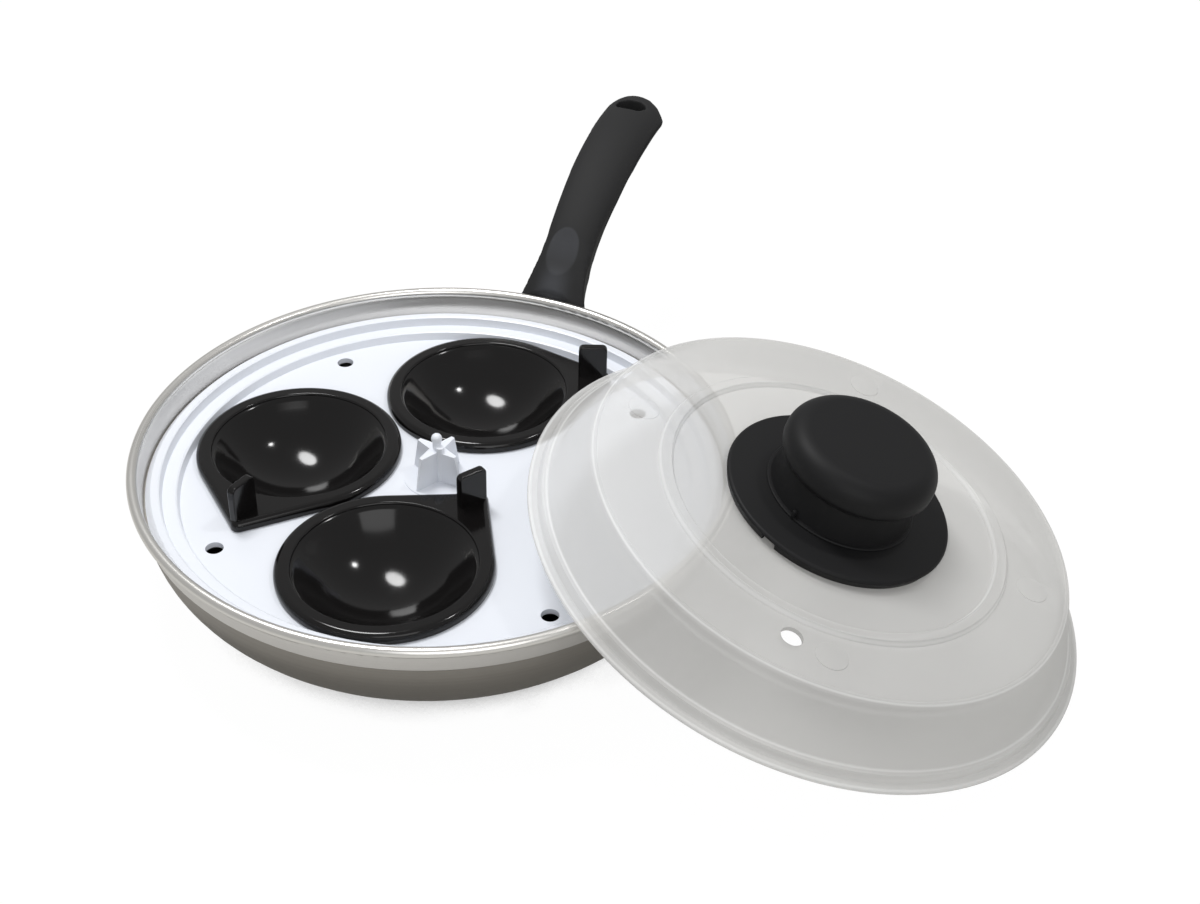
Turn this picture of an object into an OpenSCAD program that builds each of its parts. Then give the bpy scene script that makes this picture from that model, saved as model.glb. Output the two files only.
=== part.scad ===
// Egg poacher pan: shallow pan with an arched grip, a drop-in tray that holds
// three lift-out cups, and a lid with a wide knob, set down leaning on the rim.
// Units are millimetres, Z is up, the base rests on Z = 0, the grip points to +Y.

/* [Pan] */
// outside diameter over the rolled rim
rim_d = 208; // [180:1:300]
// height of the rim above the worktop
pan_h = 44; // [38:0.5:70]
// thickness of the rolled rim
bead_d = 3.6; // [2.6:0.1:4.6]
// thickness of the bowl wall and the base
bowl_wall = 2.4; // [2.1:0.1:3.4]
// thickness of the sloped band under the rim
band_wall = 1.6; // [1.2:0.1:1.9]
// height of the sloped band, from the crease to the top of the rim
band_h = 10.6; // [8:0.1:14]
// how far the bowl stands in from the rim
band_in = 3.6; // [2.8:0.1:6]
// height of the centre of the bowl's curve above the crease
curve_up = 1.6; // [0.4:0.1:4]

/* [Tray] */
// clearance between the tray's foot and the band
tray_gap = 0.6; // [0.3:0.05:0.8]
// height of the tray's raised edge above the ledge
edge_h = 2.3; // [1.5:0.1:4]
// width of the raised edge
edge_w = 3.05; // [2:0.05:5]
// width of the middle step
step_w = 5.5; // [3:0.1:9]
// depth of the middle step under the ledge
step_drop = 1; // [0.5:0.1:2]
// depth of the plate that carries the cups under the ledge
plate_drop = 4.1; // [3:0.1:8]
// thickness of the tray plate
tray_t = 2; // [1.2:0.1:3]
// radius of the steam holes
steam_r = 3; // [1.5:0.1:5]
// distance of the steam hole centres from the middle step
steam_in = 7.7; // [6:0.1:14]
// direction of the first steam hole
steam_az = 50.6; // [46:0.1:56]
// width of the lifting post over its corners
post_w = 22.6; // [16:0.1:26]
// height of the lifting post above the plate
post_h = 12.6; // [5:0.1:20]
// direction of the first fin of the post
post_az = 73; // [50:0.1:80]
// how far the fins stand in at the top of the post
post_taper = 3.2; // [1:0.1:5]
// distance from the axis to the hollows between the fins
post_in = 2.6; // [2.2:0.1:5]

/* [Cups] */
// direction of the cup beside the grip
cup_az = 95.6; // [90:0.1:100]
// clearance between the rims of neighbouring cups
cup_side = 1.2; // [0.5:0.1:3]
// clearance between a cup rim and the tray's middle step
cup_edge = 0.4; // [0.3:0.1:4]
// width of the flat rim round the well
flange_w = 5.5; // [4.8:0.1:8]
// how much narrower the floor ring is than the mouth of the well
well_in = 9.9; // [7:0.1:13]
// depth of the floor ring under the cup rim
floor_z = 9.2; // [8:0.1:14]
// further depth of the dished floor
dish = 8.4; // [4:0.1:11]
// wall thickness of a cup
cup_wall = 1.7; // [1:0.1:2.4]
// thickness of the cup rim
cup_rim_t = 3.7; // [3:0.1:5]
// clearance between a cup and its hole in the tray
cup_gap = 0.6; // [0.3:0.1:1.4]
// how far the drawn-out corner's centre lies beyond the cup rim
corner_out = 9.3; // [7:0.1:11]
// radius of the drawn-out corner
corner_r = 3; // [2:0.1:4]
// height of the finger tab above the cup rim
tab_h = 12.8; // [6:0.1:18]
// length of the finger tab at its foot
tab_l = 10.6; // [7:0.1:12]
// thickness of the finger tab
tab_t = 2.9; // [1.5:0.1:4]

/* [Lid] */
// how far the lid's lip stands in from the tray's raised edge
lid_in = 0.45; // [0:0.05:1.5]
// wall thickness of the lid
lid_wall = 1.6; // [1:0.1:2.4]
// height of the flat top over the lip
lid_h = 24.2; // [18:0.1:40]
// width of the lid's sloping side, from the lip to the shoulder
slope_w = 13; // [9:0.1:18]
// roundness of the shoulder
shoulder_f = 5.2; // [3:0.1:8]
// inner radius of the raised ring
ring_r = 59.2; // [48:0.1:64]
// width of the raised ring
ring_w = 5.6; // [4:0.1:8]
// height of the raised ring
ring_h = 1.6; // [0.5:0.1:3]
// distance of the leaning lid's centre from the pan's axis
lean_at = 130.3; // [125:0.1:150]
// direction in which the lid leans down
lean_az = 4.7; // [-60:0.01:40]
// clearance between the leaning lip and the rolled rim
rest_gap = 0.3; // [0.2:0.05:1]

/* [Knob] */
// radius of the knob's base disc
disc_r = 39; // [34:0.1:46]
// height of the base disc
disc_h = 4.4; // [3.4:0.1:8]
// radius of the stem at the disc
stem_r = 24.3; // [14:0.1:26]
// radius of the cap
cap_r = 27.9; // [26:0.1:34]
// height of the cap over the disc
cap_h = 20.8; // [17:0.1:30]
// radius of the knob screw
knob_screw_r = 1.65; // [1.3:0.05:2.2]

/* [Grip] */
// radius of the arched top of the grip
arch_r = 114.3; // [95:0.1:160]
// thickness of the grip
grip_t = 13; // [12:0.1:16]
// roundness of the grip's back
crown_r = 22; // [17:0.5:40]
// roundness of the grip's belly
belly_r = 17; // [14:0.5:40]
// half width of the grip at its neck
neck_w = 8.2; // [7.6:0.1:10]
// roundness of the flare from the neck to the root
flare_r = 26; // [20:0.5:40]
// length of the flared root, from the rim to the neck
root_l = 17; // [14:0.5:24]
// half width of the grip near its end
end_w = 9.8; // [8.6:0.1:12]
// distance of the hang hole from the pan's rim
hang_at = 88.6; // [70:0.1:110]
// half width of the hang hole
hang_r = 4.1; // [2.5:0.1:5]
// gap between the grip's root and the rolled rim
root_gap = 0.6; // [0.3:0.1:1.5]
// width of the bracket's tongue inside the grip
tongue_w = 12; // [9:0.1:13]
// thickness of the bracket's tongue
tongue_t = 3; // [2:0.1:3.6]
// clearance between the bracket and its socket in the grip
socket_gap = 0.4; // [0.2:0.05:0.6]
// radius of the grip screw
screw_r = 1.7; // [1.3:0.05:2.2]

/* [Hidden] */
$fn = 96;
e = 0.01;
rim_r = rim_d/2;
bead_r = bead_d/2;
bead_c = rim_r - bead_r;
crease_z = pan_h - band_h;
bowl_out_r = rim_r - band_in;
bowl_r = crease_z + curve_up;
bowl_c = bowl_out_r - bowl_r;
ledge_r = bowl_out_r - bowl_wall;
// inner radius of the band just above the ledge
band_r = bowl_out_r + 0.7 - band_wall;
tray_foot_r = band_r - tray_gap;
tray_r = tray_foot_r - 1.45;
tray_edge_z = crease_z + edge_h;
step_z = crease_z - step_drop;
tray_top_z = crease_z - plate_drop;
step1_r = tray_r - edge_w;
step2_r = step1_r - step_w;
steam_at = step2_r - steam_in;
cup_rim_r = (step2_r - 1 - cup_edge - cup_side/sqrt(2))/(1 + sqrt(2));
cup_at = (2*cup_rim_r + cup_side)/sqrt(2);
well_r = cup_rim_r - flange_w;
floor_r = well_r - well_in;
corner_at = cup_rim_r + corner_out;
cup_top = tray_top_z + cup_rim_t;
hole_r = well_r + cup_wall + cup_gap;
lid_r = tray_r - lid_in;
shoulder_r = lid_r - slope_w;
// the bracket's tongue lies in the middle of the grip, near its root
root_a = 139.7;
tongue = [rim_r + 6, pan_h - 1.3, root_a - 90];
arch_y = tongue[0] - (arch_r - grip_t/2)*cos(root_a);
arch_z = tongue[1] - (arch_r - grip_t/2)*sin(root_a);
hang_y = rim_r + hang_at;
white = [0.91, 0.93, 0.96];
black = [0.06, 0.06, 0.06];
soft = [0.12, 0.12, 0.12];
steel = [0.74, 0.73, 0.71];

// Lean of the lid: its lip stands on the worktop at one point, and the flat
// under the lip lies on the rolled rim where the two circles cross.
lip_in = lid_r - 7.4;
function lid_up(a) = (lid_r - 0.8)*sin(a) + 0.8*(1 - cos(a)) + 0.02;
function lean_miss(a) = let (h = pan_h - bead_r - lid_up(a),
  x = lean_at - (h*cos(a) + bead_r + rest_gap)/sin(a), u = (x - lean_at)*cos(a) - h*sin(a))
  u*u + bead_c*bead_c - x*x - lip_in*lip_in;
function lean_of(lo, hi, n) = let (m = (lo + hi)/2) n == 0 ? m
  : lean_miss(m)*lean_miss(lo) > 0 ? lean_of(m, hi, n - 1) : lean_of(lo, m, n - 1);
lean = lean_of(8, 30, 40);
lid_z = lid_up(lean);

// Pan: rolled rim, sloped band, crease with its ledge, deep curved bowl
module bowl_half(r, c, z0) {
  square([c, z0 + r]);
  translate([0, z0]) square([c, r]);
  intersection() {
    translate([c, z0 + r]) circle(r);
    translate([c - e, z0]) square([r + e, r]);
  }
}
module pan_half() {
  translate([bead_c, pan_h - bead_r]) circle(bead_r);
  polygon([[band_r, crease_z], [bowl_out_r - 0.2, crease_z - 0.6],
    [bowl_out_r + 0.7, crease_z + 0.5], [bead_c + 0.3, pan_h - bead_r - 1.1],
    [bead_c + 0.3, pan_h - bead_r], [bead_c + 0.3 - band_wall, pan_h - bead_r],
    [bead_c + 0.1 - band_wall, pan_h - bead_r - 1.4]]);
  difference() {
    union() {
      bowl_half(bowl_r, bowl_c, 0);
      translate([bowl_c, bowl_r - e])
        square([bowl_r, 0.01]);
    }
    translate([-1, crease_z]) square([rim_r, 20]);
    translate([0, 0]) difference() {
      translate([-1, bowl_wall]) square([rim_r, bowl_r]);
      translate([0, 0]) pan_keep();
    }
  }
}
// the part of the bowl section that is wall or base
module pan_keep() {
  difference() {
    square([rim_r, bowl_r + 1]);
    translate([0, bowl_wall]) square([bowl_c, bowl_r]);
    intersection() {
      translate([bowl_c, bowl_r]) circle(bowl_r - bowl_wall);
      translate([bowl_c - e, bowl_wall - e]) square([bowl_r, bowl_r]);
    }
  }
}
module pan_body() color(steel) rotate_extrude() pan_half();

// Bracket welded under the rim: curved pad, gusset and a tongue with a screw hole
module at_tongue() translate([0, tongue[0], tongue[1]]) rotate([tongue[2], 0, 0]) children();
module side_plate(w, pts) rotate([90, 0, 90]) translate([0, 0, -w/2]) linear_extrude(w) polygon(pts);
gusset_w = tongue_w - 2;
gusset = [[bowl_out_r + 1, crease_z - 0.7*band_h], [bowl_out_r + 3, crease_z - 0.7*band_h],
  [rim_r + 3, pan_h - 0.72*band_h], [rim_r + 0.6, pan_h - 0.53*band_h],
  [bowl_out_r + 1.8, crease_z + 0.1*band_h], [bowl_out_r + 1.4, crease_z - 0.32*band_h]];
module handle_bracket() color(steel) difference() {
  union() {
    rotate([0, 0, 90 - 8]) rotate_extrude(angle = 16) difference() {
      translate([bowl_c, bowl_r]) intersection() {
        circle(bowl_r + 2.6);
        translate([20, -16]) square([40, 14]);
      }
      translate([bowl_c, bowl_r]) circle(bowl_r + 0.3);
    }
    side_plate(gusset_w, gusset);
    at_tongue() translate([-tongue_w/2, -10.5, -tongue_t/2]) cube([tongue_w, 20, tongue_t]);
  }
  at_tongue() translate([0, 3, -5]) cylinder(r = screw_r + 0.3, h = 10, $fn = 32);
}

// Grip: arched bar with a crowned back, thumb recess and hang hole
module grip_plan() {
  difference() {
    translate([-2*neck_w, rim_r - 6]) square([4*neck_w, root_l + 6.1]);
    for (s = [-1, 1]) translate([s*(neck_w + flare_r), rim_r + root_l]) circle(flare_r);
  }
  polygon([[-neck_w, rim_r + root_l], [neck_w, rim_r + root_l], [end_w, hang_y], [-end_w, hang_y]]);
  translate([0, hang_y]) circle(end_w);
}
module grip_section() intersection() {
  translate([arch_r - crown_r, 0]) circle(crown_r);
  translate([arch_r - grip_t + belly_r, 0]) circle(belly_r);
}
module handle_grip() color(soft) difference() {
  intersection() {
    translate([0, arch_y, arch_z]) rotate([90, 0, 90]) rotate([0, 0, 78])
      rotate_extrude(angle = 74) grip_section();
    linear_extrude(120) grip_plan();
  }
  cylinder(r = rim_r + root_gap, h = 120, $fn = 180);
  // thumb recess
  translate([0, arch_y, arch_z]) rotate([131.8 - 90, 0, 0]) translate([0, 0, arch_r + 58.8])
    sphere(60, $fn = 120);
  // hang hole, wider across the grip
  translate([0, hang_y, 50]) linear_extrude(60) {
    translate([-2.1, 0]) circle(hang_r);
    translate([2.1, 0]) circle(hang_r);
    translate([-2.1, -hang_r]) square([4.2, 2*hang_r]);
  }
  // socket for the bracket
  at_tongue() translate([-tongue_w/2 - socket_gap, -14, -tongue_t/2 - socket_gap])
    cube([tongue_w + 2*socket_gap, 23.6 + socket_gap, tongue_t + 2*socket_gap]);
  translate([-gusset_w/2 - socket_gap, rim_r - 4, pan_h - 24])
    cube([gusset_w + 2*socket_gap, 7.2 + socket_gap, 18.9 + socket_gap]);
  at_tongue() translate([0, 3, 0]) {
    translate([0, 0, -12]) cylinder(r = 2*screw_r + 0.5, h = 8, $fn = 40);
    translate([0, 0, -6]) cylinder(r = screw_r + 0.15, h = 10.4, $fn = 32);
  }
}
module handle_screw() color(steel) at_tongue() translate([0, 3, 0]) difference() {
  union() {
    translate([0, 0, -6]) cylinder(r = 2*screw_r, h = 2, $fn = 40);
    translate([0, 0, -6]) cylinder(r = screw_r, h = 10, $fn = 32);
  }
  for (a = [0, 90]) rotate([0, 0, a]) translate([-2, -0.45, -7]) cube([4, 0.9, 2]);
}

// Tray: stepped plate with a foot on the pan's ledge, cup holes and post
module tray_half() polygon([
  [0, tray_top_z - tray_t], [step2_r + 1.6, tray_top_z - tray_t],
  [step2_r + 2.6, step_z - tray_t], [step1_r + 1.4, step_z - tray_t],
  [step1_r + 2.2, tray_edge_z - tray_t], [ledge_r + 0.1, tray_edge_z - tray_t - 0.3],
  [ledge_r + 0.1, crease_z], [tray_foot_r, crease_z], [tray_foot_r, crease_z + 0.5],
  [tray_r + 0.15, tray_edge_z - 0.5], [tray_r - 0.5, tray_edge_z],
  [step1_r + 0.3, tray_edge_z], [step1_r - 0.3, tray_edge_z - 0.3], [step1_r - 0.9, step_z],
  [step2_r + 0.3, step_z], [step2_r - 0.3, step_z - 0.3], [step2_r - 1, tray_top_z],
  [0, tray_top_z]]);
module post_plan(r1, r2, az) polygon([for (i = [0:7]) let (r = i%2 == 0 ? r1 : r2, a = az + 45*i)
  [r*cos(a), r*sin(a)]]);
module tray() color(white) {
  difference() {
    rotate_extrude($fn = 180) tray_half();
    for (k = [0:2]) rotate([0, 0, cup_az + 90*k]) translate([cup_at, 0, 0])
      cylinder(r = hole_r, h = 60);
    for (k = [0:3]) rotate([0, 0, steam_az + 90*k]) translate([steam_at, 0, 0])
      cylinder(r = steam_r, h = 60, $fn = 40);
  }
  // lifting post with four fins on a low round pad, with its pin and nib
  translate([0, 0, tray_top_z - 0.5]) cylinder(r = post_w/2 + 0.4, h = 0.8);
  intersection() {
    translate([0, 0, tray_top_z - 0.5]) linear_extrude(post_h + 0.5)
      post_plan(post_w/2 + 0.6, post_in, post_az);
    translate([0, 0, tray_top_z - 1]) cylinder(r1 = post_w/2, r2 = post_w/2 - post_taper, h = post_h + 2);
  }
  translate([0, 0, tray_top_z]) cylinder(r = 1.5, h = post_h + 4.4, $fn = 32);
  translate([0, 0, tray_top_z + post_h + 4.1]) sphere(1.9, $fn = 32);
  rotate([0, 0, -40]) translate([2.4, 0, tray_top_z]) cylinder(r = 1.3, h = post_h + 1.9, $fn = 32);
}

// Cup: dished well, thick rim drawn out to a corner that carries a finger tab
dish_f = floor_r - 0.3;
dish_r = (dish_f*dish_f + dish*dish)/(2*dish);
// roundness of the rim's outer edge
edge_f = 2.4;
// o is the offset from the inner face: 0 inside, wall thickness outside
module well_wall(o) rotate_extrude() polygon([
  [0, -floor_z - o*0.7], [floor_r + o*0.7, -floor_z - o*0.7],
  [floor_r + 3.8 + o*0.6, 1.6 - floor_z - o*0.85], [well_r - 1.8 + o, -floor_z*0.57 - o*0.2],
  [well_r + o, 0], [0, 0]]);
module well_dish(o) intersection() {
  translate([0, 0, -floor_z - dish + dish_r]) sphere(dish_r + o);
  translate([0, 0, -floor_z - dish - o - 1]) cylinder(r = floor_r + 0.5 + o, h = dish + o + 1.2);
}
module rim_half() {
  // rounded bead edge of the cup rim
  difference() {
    union() {
      translate([well_r - 1, -cup_rim_t]) square([cup_rim_r - well_r + 1.1 - edge_f, cup_rim_t]);
      translate([cup_rim_r - edge_f, 0.02 - edge_f]) intersection() {
        circle(edge_f);
        translate([-edge_f, edge_f - cup_rim_t + 0.1]) square(2*edge_f);
      }
      translate([cup_rim_r - edge_f, -cup_rim_t]) square([edge_f - 0.02, cup_rim_t - edge_f]);
    }
    translate([0, -60]) square([well_r - 0.9, 61]);
  }
}
beta = acos((cup_rim_r - corner_r)/corner_at);
module wedge(inset) {
  r1 = cup_rim_r - inset - 0.15;
  r2 = corner_r - inset - 0.05;
  polygon([[0, 0], [r1*cos(beta), r1*sin(beta)], [corner_at + r2*cos(beta), r2*sin(beta)],
    [corner_at + r2*cos(beta), -r2*sin(beta)], [r1*cos(beta), -r1*sin(beta)]]);
  translate([corner_at, 0]) circle(corner_r - inset, $fn = 40);
}
module tab_side() {
  k = 1.6;
  polygon([[-tab_l/2, -1], [-tab_l/2 + 0.8, tab_h - k], [-tab_l/2 + 0.8 + k, tab_h],
    [tab_l/2 - 0.8 - k, tab_h], [tab_l/2 - 0.8, tab_h - k], [tab_l/2, -1]]);
  for (s = [-1, 1]) translate([s*(tab_l/2 - 0.8 - k), tab_h - k]) circle(k, $fn = 32);
}
module cup() color(black) translate([0, 0, cup_top]) {
  difference() {
    union() {
      rotate_extrude() rim_half();
      well_wall(cup_wall);
      well_dish(cup_wall);
      rotate([0, 0, 180]) {
        for (k = [[-cup_rim_t, cup_rim_t - 1.6, 0], [-1.7, 1.1, 0.5], [-0.7, 0.7, 1.5]])
          translate([0, 0, k[0]]) linear_extrude(k[1]) difference() {
            wedge(k[2]);
            circle(well_r + 1.6);
          }
        translate([corner_at - 3.8, 0, 0]) rotate([90, 0, -14]) translate([0, 0, -tab_t/2])
          linear_extrude(tab_t) tab_side();
      }
    }
    well_wall(0);
    well_dish(0);
    // eased inner lip
    translate([0, 0, -1.6]) cylinder(r1 = well_r - 0.4, r2 = well_r + 1.5, h = 2.2);
  }
}
// the k-th cup's place, turned so that its corner points in the direction az
module at_cup(k, az) translate([cup_at*cos(cup_az + 90*k), cup_at*sin(cup_az + 90*k), 0])
  rotate([0, 0, az - 180]) children();
module cup_back() at_cup(0, 35) cup();
module cup_left() at_cup(1, 272.4) cup();
module cup_front() at_cup(2, 71.2) cup();

// Lid: lip, step, sloping side, rounded shoulder, flat top with a raised ring
module at_lid() rotate([0, 0, lean_az]) translate([lean_at, 0, lid_z]) rotate([0, lean, 0]) children();
foot = [lid_r - 5.6, 5];
sc = [shoulder_r - shoulder_f, lid_h - shoulder_f];
pad_at = (ring_r + ring_w + sc[0])/2;
function tang(p, c, r) = let (d = norm(p - c), a = atan2(p[1] - c[1], p[0] - c[0]) + acos(r/d))
  c + r*[cos(a), sin(a)];
tp = tang(foot, sc, shoulder_f);
module lid_outer() {
  polygon([[0, 0], foot, tp, sc, [sc[0], lid_h], [0, lid_h]]);
  translate(sc) circle(shoulder_f);
  translate([0, 0]) square([foot[0], foot[1] + 0.001]);
}
module lid_inner() {
  w = lid_wall;
  q = [foot[0] - w*1.05, foot[1] - 0.4];
  t = tang(q, sc, shoulder_f - w);
  polygon([[0, -1], [q[0], -1], q, t, sc, [sc[0], lid_h - w], [0, lid_h - w]]);
  translate(sc) circle(shoulder_f - w);
}
module lid_cover() color([0.82, 0.84, 0.82, 0.75]) at_lid() {
  difference() {
    union() {
      rotate_extrude($fn = 180) {
        difference() {
          lid_outer();
          lid_inner();
        }
        // lip with a rounded edge and the step above it
        translate([lid_r - 0.8, 0.8]) circle(0.8, $fn = 32);
        polygon([[lid_r - 7.4, 0], [lid_r - 0.8, 0], [lid_r - 0.8, 1.6], [lid_r - 3, 1.6],
          [lid_r - 3.5, 4.6], [lid_r - 5.5, 5], [lid_r - 7.4, 5]]);
        // raised ring round the knob
        polygon([[ring_r, lid_h - 0.8], [ring_r, lid_h], [ring_r + 1, lid_h + ring_h],
          [ring_r + ring_w - 1, lid_h + ring_h], [ring_r + ring_w, lid_h], [ring_r + ring_w, lid_h - 0.8]]);
      }
      // four small moulded pads
      for (a = [3, 93, 172, 281.5]) rotate([0, 0, a]) translate([pad_at, 0, lid_h - 0.5])
        cylinder(r = 4.6, h = 0.8, $fn = 40);
    }
    translate([0.9, 2.6 - pad_at, 10]) cylinder(r = 2.4, h = lid_h, $fn = 32);
    cylinder(r = knob_screw_r + 0.75, h = lid_h + 20, $fn = 32);
  }
}

// Knob: skirted disc, mushroom grip, screwed from inside the lid
module knob_base() color(black) at_lid() translate([0, 0, lid_h]) difference() {
  rotate_extrude() polygon([[knob_screw_r + 0.75, 0], [8, 0], [8, 2.2], [disc_r - 2.4, 2.2],
    [disc_r - 2.4, 0], [disc_r - 1, 0], [disc_r, disc_h - 0.8], [disc_r - 0.8, disc_h],
    [stem_r + 0.4, disc_h + 0.2],
    [knob_screw_r + 0.75, disc_h + 0.2]]);
  for (a = [-116.9, -29.5, 63]) rotate([0, 0, a]) translate([disc_r - 6, -2.2, -1]) cube([8, 4.4, 3]);
}
module knob_half() {
  z0 = disc_h + 0.2;
  z1 = disc_h + cap_h;
  difference() {
    union() {
      polygon([[0, z0], [stem_r, z0], [stem_r - 1.6, z0 + 9.5], [0, z0 + 9.5]]);
      translate([0, z0 + 8.2]) square([cap_r - 3, z1 - z0 - 8.2]);
      translate([cap_r - 3.4, z0 + 11.6]) circle(3.4, $fn = 64);
      intersection() {
        translate([cap_r - 5.6, z1 - 5.6]) circle(5.6, $fn = 64);
        translate([0, z0 + 8.2]) square([60, 60]);
      }
    }
    // hollow inside, with a boss for the screw
    difference() {
      translate([0, z0 - 1]) square([stem_r - 4.6, z1 - z0 - 2.4]);
      translate([0, z0 - 1]) square([4.6, 60]);
    }
    translate([0, z0 - 1]) square([knob_screw_r + 0.15, 11]);
  }
}
module knob_grip() color(soft) at_lid() translate([0, 0, lid_h]) rotate_extrude() knob_half();
module knob_washer() color(steel) at_lid() translate([0, 0, lid_h - lid_wall - 1.2]) difference() {
  cylinder(r = 6.5, h = 1.2, $fn = 48);
  translate([0, 0, -1]) cylinder(r = knob_screw_r + 0.45, h = 4, $fn = 32);
}
module knob_screw() color(steel) at_lid() translate([0, 0, lid_h - lid_wall - 1.2]) difference() {
  union() {
    translate([0, 0, -2]) cylinder(r = 3.6, h = 2, $fn = 40);
    translate([0, 0, -2]) cylinder(r = knob_screw_r, h = lid_wall + disc_h + 10, $fn = 32);
  }
  for (a = [0, 90]) rotate([0, 0, a]) translate([-2.2, -0.5, -3]) cube([4.4, 1, 2]);
}

pan_body();
handle_bracket();
handle_grip();
handle_screw();
tray();
cup_left();
cup_back();
cup_front();
lid_cover();
knob_base();
knob_grip();
knob_washer();
knob_screw();
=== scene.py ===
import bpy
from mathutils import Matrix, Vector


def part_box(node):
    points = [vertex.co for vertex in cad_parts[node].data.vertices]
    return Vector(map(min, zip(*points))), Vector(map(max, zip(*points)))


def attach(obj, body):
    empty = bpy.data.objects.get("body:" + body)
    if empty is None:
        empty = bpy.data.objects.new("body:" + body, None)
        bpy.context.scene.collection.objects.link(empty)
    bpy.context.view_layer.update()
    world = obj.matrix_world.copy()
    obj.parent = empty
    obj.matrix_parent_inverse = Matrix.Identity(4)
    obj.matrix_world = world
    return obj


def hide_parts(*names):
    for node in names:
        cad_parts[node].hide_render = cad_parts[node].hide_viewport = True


bl_info = {
    "name": "Egg poacher pan",
    "version": (1, 0, 0),
    "blender": (4, 5, 0),
    "location": "View3D > Sidebar > Poacher",
    "description": "Finishes the pan, tray, poaching cups, lid, knob and grip, "
                   "and sets them on a pale stage",
    "category": "Object",
}

import math

import bmesh
import bpy
from mathutils import Matrix, Vector

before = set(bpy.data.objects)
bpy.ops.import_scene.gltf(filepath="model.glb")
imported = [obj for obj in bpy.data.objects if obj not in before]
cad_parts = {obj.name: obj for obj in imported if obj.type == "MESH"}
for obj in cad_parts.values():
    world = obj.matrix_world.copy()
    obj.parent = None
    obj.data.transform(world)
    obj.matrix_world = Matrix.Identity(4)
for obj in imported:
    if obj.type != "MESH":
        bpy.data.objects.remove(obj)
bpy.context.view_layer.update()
MM = 0.001
# slack in the tests of where an edge lies, in metres
TINY = 1e-6
# faces that meet at less than SMOOTH_BELOW are shaded as one, and only edges that turn by more
# than SHARP_FROM are bevelled
SMOOTH_BELOW = math.radians(32)
SHARP_FROM = math.radians(25)
# the leaning lid's place: its axis, turned and tipped, through the middle of its lip
LID_PLACE = (Matrix.Rotation(math.radians(4.7), 4, "Z") @ Matrix.Translation((0.1303, 0, 0.0278))
             @ Matrix.Rotation(math.radians(16.77), 4, "Y"))
# what the lid and its knob carry, in the lid's own frame: directions in degrees, the rest in metres
PAD_TURNS = (0, 91, 176, 279.4)
NOTCH_TURNS = (-116.9, -29.5, 63)
VENT_PLACE = (-1.5 * MM, -67.3 * MM)
GATE_PLACE = (-12.6 * MM, -21.4 * MM)
SCREW_HOLE = 2.4 * MM
# middle of the sphere that hollows the root of the grip, and its radius
RECESS = ((0, 0.1922 - 0.1731 * math.cos(math.radians(48.2)),
           -0.0270 + 0.1731 * math.sin(math.radians(48.2))), 0.0600)
# each cup's direction from the pan's axis, and the direction of its corner, in degrees
CUP_TURNS = {"cup_back": (95.6, 35.0), "cup_left": (185.6, 272.4), "cup_front": (275.6, 71.2)}
# the cups' rims stand this far over the solids' rims, so that they don't share a face with the tray
CUP_CLEARANCE = 0.02 * MM
# the well's wall, from its floor ring to its mouth: each point's way out and up, in mm
WELL_WALL = ((0.5, 0.45), (2.5, 2.2), (4.8, 4.5), (6.9, 6.7), (8.4, 8.5))
# how the finger tab is turned against the cup's corner, in degrees
TAB_TURN = -14
# the camera as fitted to the photo: its height, turn and roll in degrees, and its place
CAMERA_ANGLES = (36.63, 19.5, 1.80)
CAMERA_PLACE = (0.20968, -0.42418, 0.39172)
# where the lamps aim, and the strength of the surroundings for every ray but the camera's own
LAMPS_AIM = (0.05, 0.0, 0.03)
SURROUNDINGS = 0.46
# the floor's level; how far over it the sky is felt for, and the shares of open sky between which
# it turns from paper to white, so that the floor is painted darker, as shade, under things that
# stand close over it
FLOOR_LEVEL = -0.0004
SKY_REACH, SKY_SHARES = 0.06, (0.06, 0.26)


# ---------------------------------------------------------------- shader maths


class Val:
    """A node's output in a material, with arithmetic."""

    def __init__(self, mat, socket):
        self.mat = mat
        self.socket = socket

    def _op(self, name, a, b):
        return self.mat.math(name, a, b)

    def __add__(self, o):
        return self._op("ADD", self, o)

    def __radd__(self, o):
        return self._op("ADD", o, self)

    def __sub__(self, o):
        return self._op("SUBTRACT", self, o)

    def __rsub__(self, o):
        return self._op("SUBTRACT", o, self)

    def __mul__(self, o):
        return self._op("MULTIPLY", self, o)

    def __pow__(self, o):
        return self._op("POWER", self, o)

    def __lt__(self, o):
        return self._op("LESS_THAN", self, o)


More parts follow.
